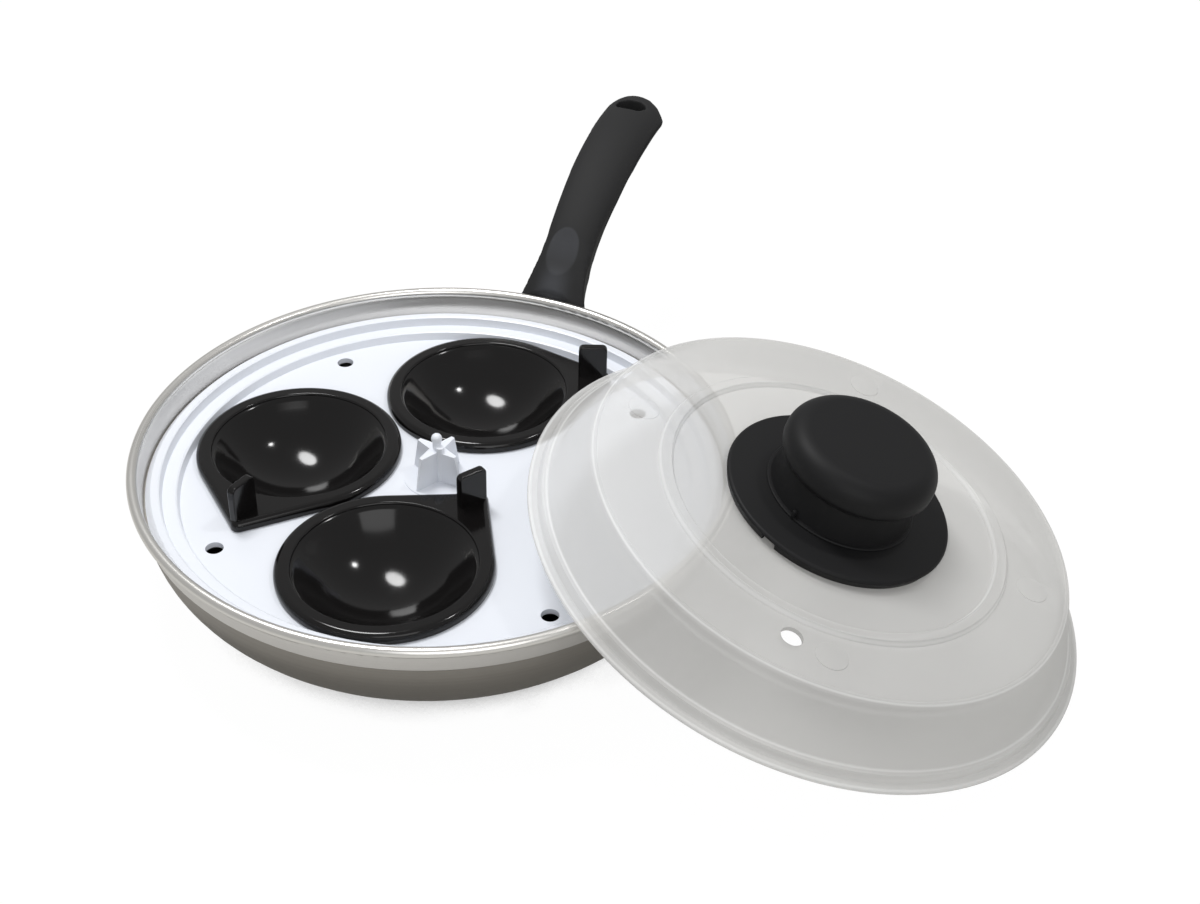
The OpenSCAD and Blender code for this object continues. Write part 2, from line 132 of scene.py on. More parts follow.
class Finish:
    """One procedural material and the tools that build it."""

    def __init__(self, name):
        self.material = bpy.data.materials.new(name)
        self.material.use_nodes = True
        self.tree = self.material.node_tree
        self.tree.nodes.clear()
        self.out = self.tree.nodes.new("ShaderNodeOutputMaterial")
        self._coords = None

    def node(self, kind, settings=None, output=0, **sockets):
        """A node's output; sockets go by name, with _ for a space, or by number as i0, i1..."""
        n = self.tree.nodes.new(kind)
        for key, value in (settings or {}).items():
            setattr(n, key, value)
        for key, value in sockets.items():
            name = key.replace("_", " ")
            numbered = name[0] == "i" and name[1:].isdigit()
            self.put(n.inputs[int(name[1:]) if numbered else name], value)
        return Val(self, n.outputs[output])

    def put(self, socket, value):
        if isinstance(value, Val):
            self.tree.links.new(value.socket, socket)
        elif value is not None:
            socket.default_value = value

    def math(self, name, a, b=None):
        return self.node("ShaderNodeMath", {"operation": name}, i0=a, i1=b)

    def clamp(self, v):
        return self.node("ShaderNodeClamp", Value=v)

    def step(self, v, lo, hi):
        """0 below lo, 1 above hi, smooth between."""
        return self.node("ShaderNodeMapRange", {"interpolation_type": "SMOOTHSTEP"},
                         Value=v, From_Min=lo, From_Max=hi)

    def mix(self, factor, a, b):
        return self.node("ShaderNodeMix", {"data_type": "RGBA"}, output=2, i0=factor, i6=a, i7=b)

    def coords(self):
        if self._coords is None:
            self._coords = self.node("ShaderNodeTexCoord", output=3)
        return self._coords

    def mapped(self, location=(0, 0, 0), rotation=(0, 0, 0), scale=(1, 1, 1), kind="POINT"):
        return self.node("ShaderNodeMapping", {"vector_type": kind}, Vector=self.coords(),
                         Location=location, Rotation=rotation, Scale=scale)

    def parts(self, vector):
        n = self.node("ShaderNodeSeparateXYZ", Vector=vector).socket.node
        return [Val(self, n.outputs[i]) for i in range(3)]

    def pack(self, x, y, z):
        return self.node("ShaderNodeCombineXYZ", X=x, Y=y, Z=z)

    def noise(self, vector, scale, detail=2.0, rough=0.5):
        return self.node("ShaderNodeTexNoise", Vector=vector, Scale=scale, Detail=detail,
                         Roughness=rough)

    def bump(self, height, strength, distance):
        return self.node("ShaderNodeBump", Height=height, Strength=strength, Distance=distance)

    def surface(self, **sockets):
        shader = self.node("ShaderNodeBsdfPrincipled", **sockets)
        self.tree.links.new(shader.socket, self.out.inputs["Surface"])
        return shader


def rgb(c, alpha=1.0):
    return (c[0], c[1], c[2], alpha)


def dress(name, finish):
    """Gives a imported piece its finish."""
    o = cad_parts[name]
    o.data.materials.clear()
    o.data.materials.append(finish.material)
    for p in o.data.polygons:
        p.material_index = 0


# -------------------------------------------------------------------- finishes


def spun_metal(colours):
    f = Finish("spun_aluminium")
    x, y, z = f.parts(f.coords())
    r = f.math("SQRT", x * x + y * y)
    turn = f.math("ARCTAN2", y, x)
    rings = f.noise(f.pack(r * 900.0, z * 900.0, turn * 0.8), 1.0, 3.0, 0.6)
    fine = f.noise(f.pack(r * 4200.0, z * 4200.0, turn * 6.0), 1.0, 2.0, 0.5)
    clouds = f.noise(f.coords(), 38.0, 3.0, 0.5)
    # the rolled bead is above 40 mm, and the spun bowl below the crease at 33.4 mm
    bead = f.step(z, 40.0 * MM, 40.8 * MM)
    bowl = f.step(z, 33.9 * MM, 33.2 * MM)
    # painted highlight: the rolled bead gets a paler tone than the band, though it is the same
    # metal
    tone = f.mix(bead, rgb(colours.pan_band), rgb(colours.pan_bead_highlight))
    tone = f.mix(bowl, tone, rgb(colours.pan_bowl))
    tone = f.mix(rings * (0.10 + bowl * 0.25), tone, (0.20, 0.19, 0.175, 1))
    rough = 0.34 + bowl * 0.10 - bead * 0.04 + (clouds - 0.5) * 0.12 + (rings - 0.5) * 0.12
    normal = f.bump((rings * 0.6 + fine * 0.4) * (1.0 - bead * 0.7), 0.25, 0.05 * MM)
    f.surface(Base_Color=tone, Metallic=1.0, Roughness=rough, Normal=normal)
    return f


def plated_steel():
    f = Finish("plated_steel")
    grain = f.noise(f.mapped(scale=(1, 1, 6)), 900.0, 2.0)
    f.surface(Base_Color=f.mix(grain, (0.50, 0.50, 0.49, 1), (0.66, 0.66, 0.65, 1)), Metallic=1.0,
              Roughness=0.28 + grain * 0.15, Normal=f.bump(grain, 0.1, 0.03 * MM))
    return f


def white_plastic(colours):
    f = Finish("white_tray_plastic")
    peel = f.noise(f.coords(), 420.0, 2.0)
    wide = f.noise(f.coords(), 14.0, 2.0)
    tone = f.mix(wide, rgb(colours.tray), rgb([c * 0.965 for c in colours.tray]))
    f.surface(Base_Color=tone, Roughness=0.30 + (wide - 0.5) * 0.08,
              Normal=f.bump(peel, 0.12, 0.05 * MM))
    return f


def cup_gloss(colours):
    f = Finish("black_cup_gloss")
    peel = f.noise(f.coords(), 300.0, 2.0)
    wear = f.noise(f.coords(), 60.0, 4.0, 0.6)
    f.surface(Base_Color=rgb(colours.cups), Roughness=0.11 + f.step(wear, 0.5, 0.8) * 0.07,
              Specular_IOR_Level=0.35, Normal=f.bump(peel, 0.04, 0.03 * MM))
    return f


def grip_plastic(colours):
    f = Finish("black_grip_plastic")
    grain = f.noise(f.coords(), 1500.0, 2.0)
    wide = f.noise(f.coords(), 30.0, 3.0)
    x, y, z = f.parts(f.coords())
    middle, radius = RECESS
    away = f.math("SQRT", x * x + (y - middle[1]) ** 2.0 + (z - middle[2]) ** 2.0)
    # painted highlight: the hollow's floor is painted paler, as lit, less so towards the root,
    # where the top of the root is painted paler too, as it catches light
    hollow = f.step(away, radius + 0.25 * MM, radius + 0.02 * MM) * f.step(y, 134 * MM, 128 * MM)
    hollow = hollow * (0.3 + f.step(y, 110 * MM, 121 * MM) * 0.7)
    root = f.step(y, 114 * MM, 106 * MM) * f.step(f.math("ABSOLUTE", x), 9 * MM, 0.5 * MM)
    hollow = f.clamp(hollow * 0.75 + root * 0.9)
    tone = f.mix(wide, rgb(colours.grip), rgb([c * 1.2 for c in colours.grip]))
    f.surface(Base_Color=f.mix(hollow, tone, rgb(colours.recess_light)), Specular_IOR_Level=0.24,
              Roughness=0.66 + (wide - 0.5) * 0.10, Normal=f.bump(grain, 0.35, 0.05 * MM))
    return f


def knob_plastic(colours):
    f = Finish("black_knob_plastic")
    grain = f.noise(f.coords(), 1700.0, 2.0)
    wide = f.noise(f.coords(), 36.0, 3.0)
    tone = f.mix(wide, rgb(colours.knob), rgb([c * 1.3 for c in colours.knob]))
    f.surface(Base_Color=tone, Roughness=0.55 + (wide - 0.5) * 0.12, Specular_IOR_Level=0.22,
              Normal=f.bump(grain, 0.3, 0.04 * MM))
    return f


def milky_plastic(colours):
    f = Finish("milky_lid_plastic")
    grain = f.noise(f.coords(), 900.0, 2.0)
    wide = f.noise(f.coords(), 18.0, 3.0)
    flow = f.noise(f.coords(), 7.0, 2.0)
    x, y, z = f.parts(f.mapped(LID_PLACE.translation, LID_PLACE.to_euler(), kind="TEXTURE"))
    r = f.math("SQRT", x * x + y * y)
    # the lid is painted paler and more opaque in thin rings where it bends, as painted highlight
    # lines: radius and half width of each bend, in mm
    bend_highlight = 0.0
    for at, half in ((55.9, 0.6), (60.1, 0.6), (82.2, 0.5), (91.8, 0.6), (96.4, 0.8)):
        bend_highlight = f.step(f.math("ABSOLUTE", r - at * MM), half * MM, 0.1 * half * MM) + bend_highlight
    bend_highlight = f.clamp(bend_highlight)
    tone = f.mix(wide, rgb(colours.lid), rgb([c * 0.97 for c in colours.lid]))
    # painted highlight lines: a paler tone at the bends
    tone = f.mix(bend_highlight, tone, (0.88, 0.88, 0.87, 1))
    f.surface(Base_Color=tone, Roughness=0.40 + (wide - 0.5) * 0.06, IOR=1.45,
              Alpha=0.40 + bend_highlight * 0.12 + (flow - 0.5) * 0.04,
              Normal=f.bump(grain, 0.12, 0.04 * MM))
    return f


# ------------------------------------------------------------------- modelling


def only(*objects):
    """Selects these objects and nothing else."""
    bpy.ops.object.select_all(action="DESELECT")
    for o in objects:
        o.select_set(True)
    bpy.context.view_layer.objects.active = objects[-1]


def copy_of(o, name):
    twin = o.copy()
    twin.data = o.data.copy()
    twin.name = name
    bpy.context.scene.collection.objects.link(twin)
    twin.hide_render = False
    return twin


def settle(o):
    """Puts the object's place into its mesh."""
    only(o)
    bpy.ops.object.transform_apply(location=True, rotation=True, scale=True)


def modify(o, kind, **settings):
    only(o)
    m = o.modifiers.new(kind.lower(), kind)
    for key, value in settings.items():
        setattr(m, key, value)
    bpy.ops.object.modifier_apply(modifier=m.name)


def cut(o, tool, operation="DIFFERENCE"):
    modify(o, "BOOLEAN", operation=operation, object=tool, solver="EXACT")
    bpy.data.objects.remove(tool)


def turned(name, rings, steps=128):
    """A closed turned solid: each ring (radius, height) is extruded from the one before."""
    r, z = rings[0]
    bpy.ops.object.select_all(action="DESELECT")
    bpy.ops.mesh.primitive_circle_add(vertices=steps, radius=r, fill_type="NGON",
                                      location=(0, 0, z))
    o = bpy.context.object
    o.name = name
    bpy.ops.object.transform_apply(location=True, rotation=True, scale=True)
    bpy.ops.object.mode_set(mode="EDIT")
    bpy.ops.mesh.select_all(action="SELECT")
    for nr, nz in rings[1:]:
        bpy.ops.mesh.extrude_region_move(TRANSFORM_OT_translate={"value": (0, 0, nz - z)})
        bpy.ops.transform.resize(value=(nr / r, nr / r, 1), center_override=(0, 0, 0))
        r, z = nr, nz
    bpy.ops.mesh.select_all(action="SELECT")
    bpy.ops.mesh.normals_make_consistent(inside=False)
    bpy.ops.object.mode_set(mode="OBJECT")
    return o


def bevel_where(o, test, width, segments):
    """Bevels the edges that pass the test of their two ends."""
    only(o)
    bpy.ops.object.mode_set(mode="EDIT")
    bpy.ops.mesh.select_all(action="DESELECT")
    bpy.ops.mesh.select_mode(type="EDGE")
    mesh = bmesh.from_edit_mesh(o.data)
    for e in mesh.edges:
        if test(e.verts[0].co, e.verts[1].co) and e.calc_face_angle(0) > SHARP_FROM:
            e.select = True
    bmesh.update_edit_mesh(o.data)
    bpy.ops.mesh.bevel(offset=width, segments=segments, profile=0.5, affect="EDGES",
                       clamp_overlap=True)
    bpy.ops.object.mode_set(mode="OBJECT")


def arc(cx, cz, r, a0, a1, n):
    """Points on an arc, in degrees from the x axis."""
    return [(cx + r * math.cos(math.radians(a0 + (a1 - a0) * i / n)),
             cz + r * math.sin(math.radians(a0 + (a1 - a0) * i / n))) for i in range(n + 1)]


def well_rings(m, out, top):
    """Section of the well from the middle of the dish up to the rim, out from its inner face.

    Out is laid off square to the section, so part of it goes outwards and part downwards.
    """
    floor = m.well - m.narrowing
    bend = (floor * floor + m.dish * m.dish) / (2 * m.dish)
    low = -m.floor - m.dish
    half = math.degrees(math.asin(floor / bend))
    rings = [(max(x, 0.02 * MM), z) for x, z in
             arc(0, low + bend, bend + out, -90, -90 + half * 0.97, 18)]
    for dr, dz in WELL_WALL:
        rings.append((floor + dr * MM + out * 0.65, -m.floor + dz * MM - out * 0.76))
    rings += [(m.well - 0.65 * MM + out * 0.85, -m.floor * 0.12 - out * 0.6),
              (m.well - 0.15 * MM + out, -m.floor * 0.09 - out * 0.25)]
    return rings + top


def cup_shape(m):
    """One cup, its corner towards -x and the top of its rim at z = 0."""
    bpy.ops.object.select_all(action="DESELECT")
    bpy.ops.mesh.primitive_cylinder_add(vertices=160, radius=m.rim, depth=m.rim_depth,
                                        location=(0, 0, -m.rim_depth / 2))
    slab = bpy.context.object
    slab.name = "cup_mould"
    bpy.ops.object.transform_apply(location=True, rotation=True, scale=True)
    bpy.ops.object.mode_set(mode="EDIT")
    bpy.ops.mesh.primitive_cylinder_add(vertices=64, radius=m.corner, depth=m.rim_depth,
                                        location=(-m.reach, 0, -m.rim_depth / 2))
    bpy.ops.mesh.select_all(action="SELECT")
    bpy.ops.mesh.convex_hull()
    bpy.ops.mesh.select_all(action="SELECT")
    bpy.ops.mesh.dissolve_limited(angle_limit=math.radians(0.4))
    bpy.ops.object.mode_set(mode="OBJECT")
    bevel_where(slab, lambda a, b: min(a.z, b.z) > -TINY, 2.3 * MM, 9)
    bevel_where(slab, lambda a, b: max(a.z, b.z) < TINY - m.rim_depth, 0.5 * MM, 3)

    # the finger tab, rounded over its two top corners, with its foot sunk into the rim
    foot = 1 * MM
    bpy.ops.object.select_all(action="DESELECT")
    bpy.ops.mesh.primitive_cube_add(size=1)
    tab = bpy.context.object
    tab.name = "tab"
    tab.scale = (m.tab_length, m.tab_width, m.tab_height + foot)
    bpy.ops.object.transform_apply(location=True, rotation=True, scale=True)
    top = (m.tab_height + foot) / 2
    bevel_where(tab, lambda a, b: min(a.z, b.z) > top - TINY and abs(a.x - b.x) < TINY, 1.9 * MM, 6)
    bevel_where(tab, lambda a, b: min(a.z, b.z) > TINY - top or abs(a.z - b.z) > foot,
                0.55 * MM, 3)
    tab.location = (3.8 * MM - m.reach, 0, top - foot)
    tab.rotation_euler = (0, 0, math.radians(TAB_TURN))
    settle(tab)

    lip = 0.9 * MM
    outer = turned("outer_well", well_rings(m, m.wall, [(m.well + m.wall, -0.6 * MM)]))
    inner = turned("inner_well", well_rings(m, 0, arc(
        m.well + lip, 0.03 * MM - lip, lip, 180, 90, 8) + [(m.well + lip + 0.4 * MM, 1 * MM)]))
    cut(slab, outer, "UNION")
    cut(slab, tab, "UNION")
    cut(slab, inner)
    only(slab)
    bpy.ops.object.shade_smooth_by_angle(angle=SMOOTH_BELOW)
    modify(slab, "WEIGHTED_NORMAL", keep_sharp=True)
    return slab


# ------------------------------------------------------------------ properties


def colour(name, description, default):
    return bpy.props.FloatVectorProperty(name=name, description=description, subtype="COLOR",
                                         size=3, default=default, min=0, max=1)


def length(name, description, default):
    """A length whose default is given in mm."""
    return bpy.props.FloatProperty(name=name, description=description, default=default * MM, min=0,
                                   unit="LENGTH")


class PoacherColours(bpy.types.PropertyGroup):
    # the rolled rim's colour is paler than the band's as a painted highlight
    pan_bead_highlight: colour("Rolled rim", "Colour of the rolled rim", (0.84, 0.825, 0.79))
    pan_band: colour("Band", "Colour of the band under the rim", (0.80, 0.785, 0.76))
    pan_bowl: colour("Bowl", "Colour of the spun bowl", (0.36, 0.34, 0.31))
    tray: colour("Tray", "Colour of the tray", (0.84, 0.87, 0.93))
    cups: colour("Cups", "Colour of the cups", (0.005, 0.0045, 0.0045))
    grip: colour("Grip", "Colour of the grip", (0.016, 0.016, 0.0165))
    # painted light: a paler colour for where the hollow and the root's top face the light
    recess_light: colour("Recess", "Colour of the hollow at the grip's root", (0.052, 0.054, 0.060))
    knob: colour("Knob", "Colour of the knob", (0.0065, 0.0065, 0.007))
    lid: colour("Lid", "Colour of the lid", (0.80, 0.795, 0.78))


class PoacherCups(bpy.types.PropertyGroup):
    spread: length("Spread", "Distance of the cups from the pan's axis", 51.6)
    rim: length("Rim", "Radius of a cup's rim", 35.9)
    rim_depth: length("Rim depth", "Thickness of the rim", 3.7)
    corner: length("Corner", "Radius of the drawn-out corner", 3)
    reach: length("Reach", "Distance of the corner's centre from the cup's axis", 45.2)
    well: length("Well", "Radius of the well's mouth", 30.4)
    narrowing: length("Narrowing", "How much narrower the floor ring is than the mouth", 9.9)
    floor: length("Floor", "Depth of the floor ring", 10.6)
    dish: length("Dish", "Further depth of the dished floor", 7.0)
    wall: length("Wall", "Thickness of the well's wall", 1.7)
    depth: length("Depth", "Depth of the whole cup under its rim", 19.3)
    tab_length: length("Tab length", "Length of the finger tab", 10.6)
    tab_width: length("Tab width", "Thickness of the finger tab", 2.9)
    tab_height: length("Tab height", "Height of the finger tab over the rim", 12.8)


class PoacherLid(bpy.types.PropertyGroup):
    lip: length("Lip", "Radius of the lip", 97.0)
    height: length("Height", "Height of the flat top over the lip's edge", 24.2)
    wall: length("Wall", "Thickness of the lid", 1.6)
    shoulder: length("Shoulder", "Radius of the shoulder", 83.4)
    ring: length("Ring", "Inner radius of the raised ring", 55.6)
    ring_width: length("Ring width", "Width of the raised ring", 4.8)
    ring_height: length("Ring height", "Height of the raised ring", 1.6)
    pads: length("Pads", "Distance of the moulded pads from the axis", 69.3)
    pad_radius: length("Pad radius", "Radius of a pad", 5.3)
    vent: length("Vent", "Radius of the steam vent", 3.6)


class PoacherKnob(bpy.types.PropertyGroup):
    disc: length("Disc", "Radius of the skirted disc", 38.3)
    disc_height: length("Disc height", "Height of the disc", 3.7)
    notch: length("Notch", "Width of a notch in the skirt", 5.2)
    stem: length("Stem", "Radius of the stem at the disc", 24.3)
    cap: length("Cap", "Radius of the cap", 25.8)
    cap_height: length("Cap height", "Height of the cap over the disc", 24.0)
    cap_round: length("Cap roundness", "Roundness of the cap's top edge", 6.9)


class PoacherStage(bpy.types.PropertyGroup):
    lens: bpy.props.FloatProperty(
        name="Lens", description="Focal length of the camera", default=51.1092, min=20, max=200)
    floor_half: bpy.props.FloatProperty(
        name="Floor", description="Half the side of the floor", default=4.0, min=1, max=20,
        unit="LENGTH")
    grip_rounding: bpy.props.IntProperty(
        name="Grip rounding", description="Passes of smoothing on the grip's edges", default=7,
        min=0, max=40)
    key: bpy.props.FloatProperty(
        name="Key light", description="Power of the large soft light", default=7.0, min=0, max=100)


# ------------------------------------------------------------------- operators


class POACHER_OT_metal(bpy.types.Operator):
    """Spun aluminium on the pan, plated steel on its bracket and the fasteners"""

    bl_idname = "poacher.metal"
    bl_label = "Finish the metal"

    def execute(self, context):
        c = context.scene.poacher_colours
        dress("pan_body", spun_metal(c))
        steel = plated_steel()
        for name in ("handle_bracket", "handle_screw", "knob_washer", "knob_screw"):
            dress(name, steel)
        return {"FINISHED"}


class POACHER_OT_tray(bpy.types.Operator):
    """White plastic on the tray"""

    bl_idname = "poacher.tray"
    bl_label = "Finish the tray"

    def execute(self, context):
        dress("tray", white_plastic(context.scene.poacher_colours))
        return {"FINISHED"}


class POACHER_OT_cups(bpy.types.Operator):
    """Moulded poaching cups: rounded rim drawn out to a corner, dished well and finger tab"""

    bl_idname = "poacher.cups"
    bl_label = "Model the cups"

    def execute(self, context):
        m = context.scene.poacher_cups
        gloss = cup_gloss(context.scene.poacher_colours)
        mould = cup_shape(m)
        mould.data.materials.append(gloss.material)
        for name, (turn, corner) in CUP_TURNS.items():
            cup = copy_of(mould, "moulded_" + name)
            cup.rotation_euler = (0, 0, math.radians(corner - 180))
            angle = math.radians(turn)
            cup.location = (m.spread * math.cos(angle), m.spread * math.sin(angle),
                            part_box(name)[0][2] + m.depth + CUP_CLEARANCE)
            settle(cup)
            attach(cup, name)
            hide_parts(name)
        bpy.data.objects.remove(mould)
        return {"FINISHED"}


def rod(radius, low, high, x=0.0, y=0.0, steps=48):
    """An upright round tool, in the lid's own frame."""
    bpy.ops.object.select_all(action="DESELECT")
    bpy.ops.mesh.primitive_cylinder_add(vertices=steps, radius=radius, depth=high - low,
                                        location=(x, y, (low + high) / 2))
    o = bpy.context.object
    settle(o)
    return o


def place_on_lid(o, node, finish):
    """Smooths a piece made in the lid's own frame and puts it in that node's place."""
    only(o)
    bpy.ops.object.shade_smooth_by_angle(angle=SMOOTH_BELOW)
    o.matrix_world = LID_PLACE
    settle(o)
    o.data.materials.clear()
    o.data.materials.append(finish.material)
    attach(o, "lid")
    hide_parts(node)


class POACHER_OT_lid(bpy.types.Operator):
    """Milky lid: rounded lip, step, sloping side, shoulder, double ring, four pads and a vent"""

    bl_idname = "poacher.lid"
    bl_label = "Model the lid"

    def execute(self, context):
        m = context.scene.poacher_lid
        top, wall, lip = m.height, m.wall, m.lip
        foot = lip - 5.6 * MM
        # the inside: flat top, shoulder and side
        rings = [(1.2 * MM, top - wall), (m.shoulder - 4.2 * MM, top - wall)]
        rings += arc(m.shoulder - 4.2 * MM, top - wall - 2 * MM, 2 * MM, 80, 24, 6)
        rings += [(foot - 1.8 * MM, 5 * MM), (foot - 1.8 * MM, 0.3 * MM), (foot - 1.5 * MM, 0)]
        # the lip, the step over it and the foot of the side
        rings += arc(lip - 0.8 * MM, 0.8 * MM, 0.8 * MM, -90, 90, 10)
        rings += [(lip - 2.7 * MM, 1.6 * MM), (lip - 3.0 * MM, 1.9 * MM),
                  (lip - 3.4 * MM, 4.2 * MM), (lip - 3.8 * MM, 4.7 * MM),
                  (lip - 5.2 * MM, 5.0 * MM), (foot, 5.3 * MM)]
        # the shoulder, and the raised ring on the flat top
        rings += arc(m.shoulder - 2.6 * MM, top - 2.6 * MM, 2.6 * MM, 24, 78, 7)
        rings += [(m.shoulder - 2.5 * MM, top - 0.18 * MM), (m.shoulder - 2.8 * MM, top)]
        out, peak = m.ring + m.ring_width, top + m.ring_height
        rings += [(out + 0.2 * MM, top), (out, top + 0.2 * MM), (out - 0.6 * MM, peak - 0.3 * MM),
                  (out - 1.0 * MM, peak), (m.ring + 1.0 * MM, peak),
                  (m.ring + 0.6 * MM, peak - 0.3 * MM), (m.ring, top + 0.2 * MM),
                  (m.ring - 0.2 * MM, top), (1.2 * MM, top)]
        lid = turned("moulded_lid", rings, 192)
        for turn in PAD_TURNS:
            angle = math.radians(turn)
            pad = rod(m.pad_radius, top - 0.5 * MM, top + 0.28 * MM, m.pads * math.cos(angle),
                      m.pads * math.sin(angle))
            bevel_where(pad, lambda a, b: min(a.z, b.z) > top, 0.2 * MM, 3)
            cut(lid, pad, "UNION")
        cut(lid, rod(m.vent, top - 3 * MM, top + 2 * MM, *VENT_PLACE))
        cut(lid, rod(SCREW_HOLE, top - 3 * MM, top + 2 * MM))
        place_on_lid(lid, "lid_cover", milky_plastic(context.scene.poacher_colours))
        return {"FINISHED"}


class POACHER_OT_knob(bpy.types.Operator):
    """Knob: notched skirt disc, stem with a gate mark, and a rounded cap, in soft black plastic"""

    bl_idname = "poacher.knob"
    bl_label = "Model the knob"

    def execute(self, context):
        m = context.scene.poacher_knob
        soft = knob_plastic(context.scene.poacher_colours)
        low = context.scene.poacher_lid.height
        top = low + m.disc_height
        rings = [(1.2 * MM, low), (8 * MM, low), (8 * MM, low + 2.2 * MM),
                 (m.disc - 2.4 * MM, low + 2.2 * MM), (m.disc - 2.4 * MM, low),
                 (m.disc - 1.2 * MM, low), (m.disc - 0.9 * MM, low + 0.3 * MM)]
        rings += arc(m.disc - 1.2 * MM, top - 1.2 * MM, 1.2 * MM, 8, 84, 8)
        rings += [(26.4 * MM, top + 0.1 * MM), (26.0 * MM, top + 0.2 * MM),
                  (1.2 * MM, top + 0.2 * MM)]
        disc = turned("moulded_disc", rings, 160)
        notch_height = m.disc_height - 0.2 * MM
        for turn in NOTCH_TURNS:
            bpy.ops.object.select_all(action="DESELECT")
            bpy.ops.mesh.primitive_cube_add(size=1)
            notch = context.object
            notch.scale = (6 * MM, m.notch, notch_height)
            settle(notch)
            bevel_where(notch, lambda a, b: min(a.z, b.z) > 0, 0.6 * MM, 3)
            angle = math.radians(turn)
            reach = m.disc - 0.4 * MM
            notch.location = (reach * math.cos(angle), reach * math.sin(angle),
                              low - 1 * MM + notch_height / 2)
            notch.rotation_euler = (0, 0, angle)
            settle(notch)
            cut(disc, notch)
        cut(disc, rod(SCREW_HOLE, low - 2 * MM, top + 3 * MM))
        place_on_lid(disc, "knob_base", soft)

        base, peak = top + 0.2 * MM, top + m.cap_height
        # the screw's bore, the hollow inside and the foot of the stem
        rings = [(1.8 * MM, base + 10 * MM), (1.8 * MM, base), (4.6 * MM, base),
                 (4.6 * MM, peak - 3.4 * MM), (18.6 * MM, peak - 3.4 * MM), (18.6 * MM, base),
                 (m.stem + 0.5 * MM, base), (m.stem + 0.9 * MM, base + 0.2 * MM),
                 (m.stem + 0.9 * MM, base + 0.5 * MM), (m.stem + 0.6 * MM, base + 0.8 * MM),
                 (m.stem - 0.2 * MM, base + 0.95 * MM)]
        # the tapered stem, the cap's underside and its rounded top
        rings += [(m.stem - 1.9 * MM, peak - 13.2 * MM), (m.stem - 1.9 * MM, peak - 12.4 * MM),
                  (m.stem - 1.6 * MM, peak - 11.8 * MM)]
        rings += arc(m.cap - 3.2 * MM, peak - 8.1 * MM, 3.2 * MM, -88, -4, 12)
        rings += arc(m.cap - m.cap_round, peak - m.cap_round, m.cap_round, 4, 90, 22)
        rings += [(m.cap * 0.35, peak), (0.4 * MM, peak)]
        cap = turned("moulded_cap", rings, 160)
        gate = rod(0.7 * MM, base, base + 3.2 * MM, *GATE_PLACE, 16)
        bevel_where(gate, lambda a, b: min(a.z, b.z) > base + 3 * MM, 0.3 * MM, 2)
        cut(cap, gate, "UNION")
        place_on_lid(cap, "knob_grip", soft)
        return {"FINISHED"}


# the solid grip, in mm: the middle of its arch (y, z) and the radius of its centre line, where its
# flared root ends and its round tip starts along y, half its width at those two, the flare's
# radius, and the radii of its top and its underside across
ARCH, ARCH_RADIUS = (192.2, -27.0), 107.8
ROOT_END, TIP_START = 121, 192.6
NECK_HALF, TIP_HALF, FLARE = 8.2, 9.8, 26.0
CROWN, BELLY = 22.0, 17.0
# how far the moulded grip's edges are filled out, in mm, at each place along y; how much of that
# each side takes; and the share of the half width that the tip takes
FILL = ((100, 0.4), (108, 0.7), (113, 1.2), (118, 1.8), (127, 1.7), (134, 1.9), (145, 2.6),
        (158, 2.9), (171, 2.9), (192.6, 2.7))
RIGHT_FILL, LEFT_FILL, TIP_FILL = 1.55, 0.3, 0.27
# the block that trims the points under the root: its middle and its size
TRIM_PLACE, TRIM_SIZE = (0, 108 * MM, 24.8 * MM), (40 * MM, 16 * MM, 10 * MM)


def between(table, at):
    """Straight-line value of a table."""
    for (a, va), (b, vb) in zip(table, table[1:]):
        if at <= b:
            return va + (vb - va) * max(0.0, (at - a) / (b - a))
    return table[-1][1]


def sag(radius, x):
    """How far a circle of this radius has fallen at x from its top."""
    return radius - math.sqrt(max(0.0, radius ** 2 - min(x, 16.0) ** 2))


def fill_out(o):
    """Fills out the grip's section and draws it out to an edge on each side; its middle stays."""
    for v in o.data.vertices:
        x, y, z = abs(v.co.x) / MM, v.co.y / MM, v.co.z / MM
        if y < ROOT_END:
            half = NECK_HALF + FLARE - math.sqrt(max(0.0, FLARE ** 2 - (ROOT_END - y) ** 2))
        elif y < TIP_START:
            along = (y - ROOT_END) / (TIP_START - ROOT_END)
            half = NECK_HALF + (TIP_HALF - NECK_HALF) * along
        else:
            half = math.sqrt(max(0.01, TIP_HALF ** 2 - (y - TIP_START) ** 2))
        grow = between(FILL, y) if y < TIP_START else TIP_FILL * half
        # the middle stays, out to inner
        inner = min(6.4, 0.64 * half)
        t = min(1.1, max(0.0, (x - inner) / (half - inner)))
        if t == 0:
            continue
        wide = x + grow * t * t * (RIGHT_FILL if v.co.x > 0 else LEFT_FILL)
        # the faces fall further towards the edge, from nothing at the root to all of it 12 mm on
        share = t * min(1.0, max(0.0, (y - 110) / 12))
        # over is 1 at the top face, 0 on the centre line and -1 at the underside
        away = math.hypot(y - ARCH[0], z - ARCH[1])
        over = min(1.0, max(-1.0, (away - ARCH_RADIUS) / 4.0))
        fall = sag(BELLY, wide) - sag(CROWN if over > 0 else BELLY, x)
        k = (away - over * share * max(0.0, fall)) / away
        v.co = (math.copysign(wide, v.co.x) * MM, (ARCH[0] + (y - ARCH[0]) * k) * MM,
                (ARCH[1] + (z - ARCH[1]) * k) * MM)


